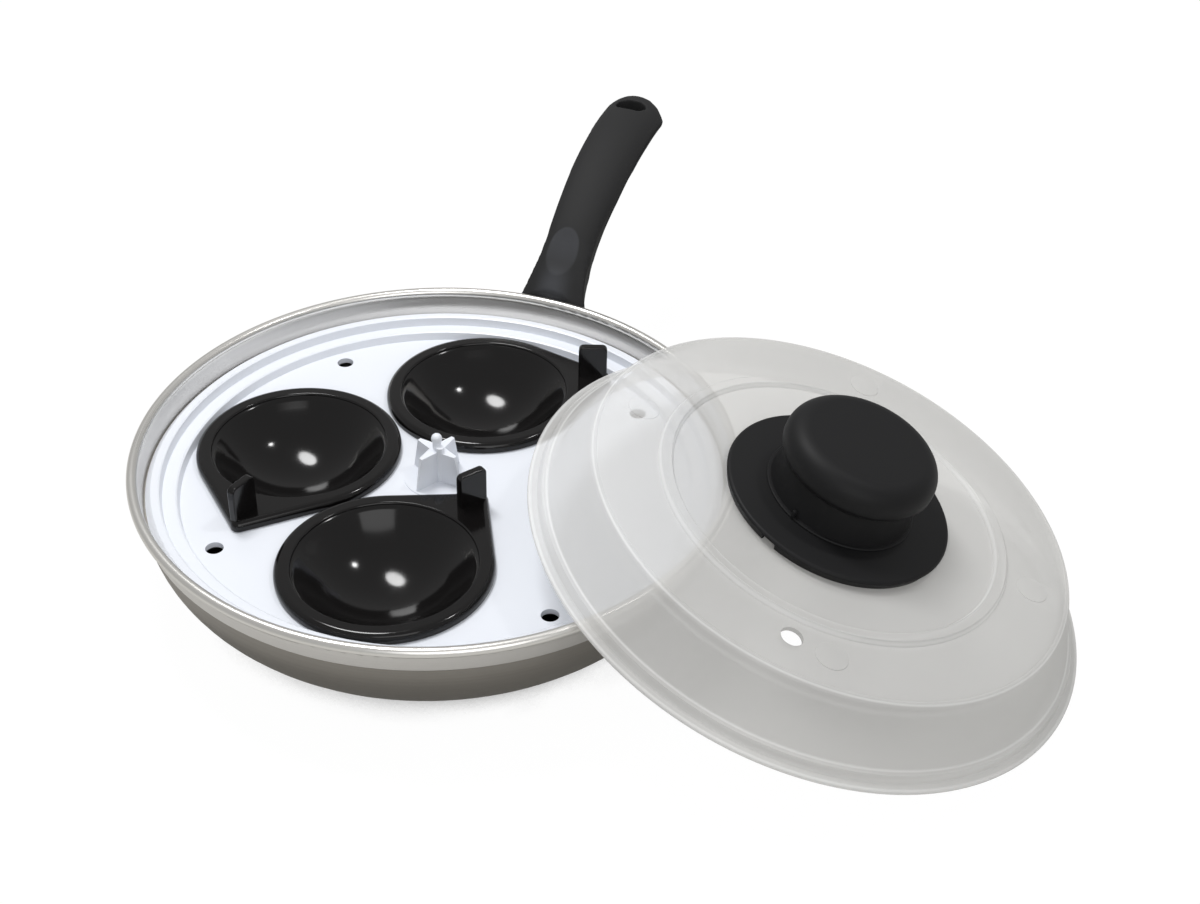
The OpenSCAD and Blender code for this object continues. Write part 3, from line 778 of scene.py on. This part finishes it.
class POACHER_OT_grip(bpy.types.Operator):
    """Grip with every edge rounded, as moulded, in soft black plastic"""

    bl_idname = "poacher.grip"
    bl_label = "Round the grip"

    def execute(self, context):
        o = copy_of(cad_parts["handle_grip"], "moulded_grip")
        only(o)
        bpy.ops.object.mode_set(mode="EDIT")
        bpy.ops.mesh.select_all(action="SELECT")
        bpy.ops.mesh.remove_doubles(threshold=0.004 * MM)
        bpy.ops.object.mode_set(mode="OBJECT")
        bpy.ops.mesh.primitive_cube_add(size=1, location=TRIM_PLACE, scale=TRIM_SIZE)
        bpy.ops.object.transform_apply(location=True, rotation=True, scale=True)
        cut(o, bpy.context.object)
        modify(o, "REMESH", mode="VOXEL", voxel_size=0.55 * MM, use_smooth_shade=True)
        modify(o, "SMOOTH", factor=0.5, iterations=context.scene.poacher_stage.grip_rounding)
        fill_out(o)
        modify(o, "SMOOTH", factor=0.5, iterations=2)
        o.data.materials.clear()
        o.data.materials.append(grip_plastic(context.scene.poacher_colours).material)
        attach(o, "pan")
        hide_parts("handle_grip")
        return {"FINISHED"}


def aim(o, target):
    d = Vector(target) - o.location
    o.rotation_euler = d.to_track_quat("-Z", "Y").to_euler()


def area_light(name, place, target, size, power, shape="SQUARE", size_y=None):
    data = bpy.data.lights.new(name, "AREA")
    data.shape = shape
    data.size = size
    if size_y:
        data.size_y = size_y
    data.energy = power
    o = bpy.data.objects.new(name, data)
    bpy.context.scene.collection.objects.link(o)
    o.location = place
    aim(o, target)
    return o


class POACHER_OT_stage(bpy.types.Operator):
    """Camera, lamps, pale floor and surroundings"""

    bl_idname = "poacher.stage"
    bl_label = "Set the stage"

    def execute(self, context):
        s = context.scene.poacher_stage
        scene = context.scene
        scene.view_settings.view_transform = "Standard"
        data = bpy.data.cameras.new("photo_camera")
        data.sensor_width = 36.0
        data.lens = s.lens
        data.clip_start = 0.01
        camera = bpy.data.objects.new("photo_camera", data)
        scene.collection.objects.link(camera)
        el, turn, roll = (math.radians(a) for a in CAMERA_ANGLES)
        look = Vector((-math.cos(el) * math.sin(turn), math.cos(el) * math.cos(turn),
                       -math.sin(el)))
        right = Vector((math.cos(turn), math.sin(turn), 0))
        up = right.cross(look)
        right, up = (math.cos(roll) * right + math.sin(roll) * up,
                     math.cos(roll) * up - math.sin(roll) * right)
        camera.matrix_world = Matrix((
            (right.x, up.x, -look.x, CAMERA_PLACE[0]),
            (right.y, up.y, -look.y, CAMERA_PLACE[1]),
            (right.z, up.z, -look.z, CAMERA_PLACE[2]),
            (0, 0, 0, 1)))
        scene.camera = camera

        bpy.ops.object.select_all(action="DESELECT")
        bpy.ops.mesh.primitive_plane_add(size=2 * s.floor_half, location=(0, 0, FLOOR_LEVEL))
        floor = context.object
        floor.name = "floor"
        bpy.ops.object.transform_apply(location=True, rotation=True, scale=True)
        f = Finish("pale_floor")
        ray = f.node("ShaderNodeLightPath").socket.node
        # seen straight on or by transmission it is white where nothing stands close over it, and
        # turns to darker paper as painted shade where something does; every other ray sees pale
        # paper
        camera_ray, passed, transmitted = (
            Val(f, ray.outputs[name])
            for name in ("Is Camera Ray", "Transparent Depth", "Is Transmission Ray"))
        seen = f.clamp(camera_ray * (passed < 0.5) + transmitted)
        sky = f.node("ShaderNodeAmbientOcclusion", {"samples": 8}, output=1, Distance=SKY_REACH)
        seen = seen * f.step(sky, *SKY_SHARES)
        paper = f.node("ShaderNodeBsdfDiffuse", Color=(0.60, 0.595, 0.58, 1))
        glow = f.node("ShaderNodeEmission", Color=(1, 1, 1, 1), Strength=1.04)
        white = f.node("ShaderNodeMixShader", i0=0.94, i1=paper, i2=glow)
        mixed = f.node("ShaderNodeMixShader", i0=seen, i1=paper, i2=white)
        f.tree.links.new(mixed.socket, f.out.inputs["Surface"])
        floor.data.materials.append(f.material)

        world = bpy.data.worlds.new("surroundings")
        scene.world = world
        world.use_nodes = True
        tree = world.node_tree
        tree.nodes.clear()
        out = tree.nodes.new("ShaderNodeOutputWorld")
        back = tree.nodes.new("ShaderNodeBackground")
        back.inputs["Color"].default_value = (1, 1, 1, 1)
        path = tree.nodes.new("ShaderNodeLightPath")
        strength = tree.nodes.new("ShaderNodeMapRange")
        strength.inputs["To Min"].default_value = SURROUNDINGS
        strength.inputs["To Max"].default_value = 1.0
        tree.links.new(path.outputs["Is Camera Ray"], strength.inputs["Value"])
        tree.links.new(strength.outputs["Result"], back.inputs["Strength"])
        tree.links.new(back.outputs[0], out.inputs["Surface"])

        area_light("key_softbox", 1.15 * Vector((-0.265, 0.149, 0.959)), LAMPS_AIM, 0.26, s.key,
                   shape="ELLIPSE", size_y=0.46)
        area_light("round_lamp", 1.2 * Vector((0.433, 0.222, 0.879)), LAMPS_AIM, 0.10, 1.3,
                   shape="DISK")
        area_light("fill_softbox", (0.6, -0.9, 0.75), LAMPS_AIM, 0.8, 3.6)
        return {"FINISHED"}


class POACHER_PT_panel(bpy.types.Panel):
    """Egg poacher pan"""

    bl_label = "Egg poacher pan"
    bl_idname = "POACHER_PT_panel"
    bl_space_type = "VIEW_3D"
    bl_region_type = "UI"
    bl_category = "Poacher"

    def draw(self, context):
        column = self.layout.column()
        scene = context.scene
        for group in (scene.poacher_colours, scene.poacher_cups, scene.poacher_lid,
                      scene.poacher_knob, scene.poacher_stage):
            for key in group.__annotations__:
                column.prop(group, key)
        for operator in OPERATORS:
            column.operator(operator.bl_idname)


GROUPS = (PoacherColours, PoacherCups, PoacherLid, PoacherKnob, PoacherStage)
OPERATORS = (POACHER_OT_metal, POACHER_OT_tray, POACHER_OT_cups, POACHER_OT_lid, POACHER_OT_knob,
             POACHER_OT_grip, POACHER_OT_stage)


def register():
    for c in GROUPS + OPERATORS + (POACHER_PT_panel,):
        bpy.utils.register_class(c)
    bpy.types.Scene.poacher_colours = bpy.props.PointerProperty(type=PoacherColours)
    bpy.types.Scene.poacher_cups = bpy.props.PointerProperty(type=PoacherCups)
    bpy.types.Scene.poacher_lid = bpy.props.PointerProperty(type=PoacherLid)
    bpy.types.Scene.poacher_knob = bpy.props.PointerProperty(type=PoacherKnob)
    bpy.types.Scene.poacher_stage = bpy.props.PointerProperty(type=PoacherStage)


def unregister():
    del bpy.types.Scene.poacher_stage
    del bpy.types.Scene.poacher_knob
    del bpy.types.Scene.poacher_lid
    del bpy.types.Scene.poacher_cups
    del bpy.types.Scene.poacher_colours
    for c in reversed(GROUPS + OPERATORS + (POACHER_PT_panel,)):
        bpy.utils.unregister_class(c)


def main():
    register()
    bpy.ops.object.select_all(action="DESELECT")
    bpy.ops.poacher.stage()
    bpy.ops.poacher.metal()
    bpy.ops.poacher.tray()
    bpy.ops.poacher.cups()
    bpy.ops.poacher.lid()
    bpy.ops.poacher.knob()
    bpy.ops.poacher.grip()


if __name__ == "__main__":
    main()
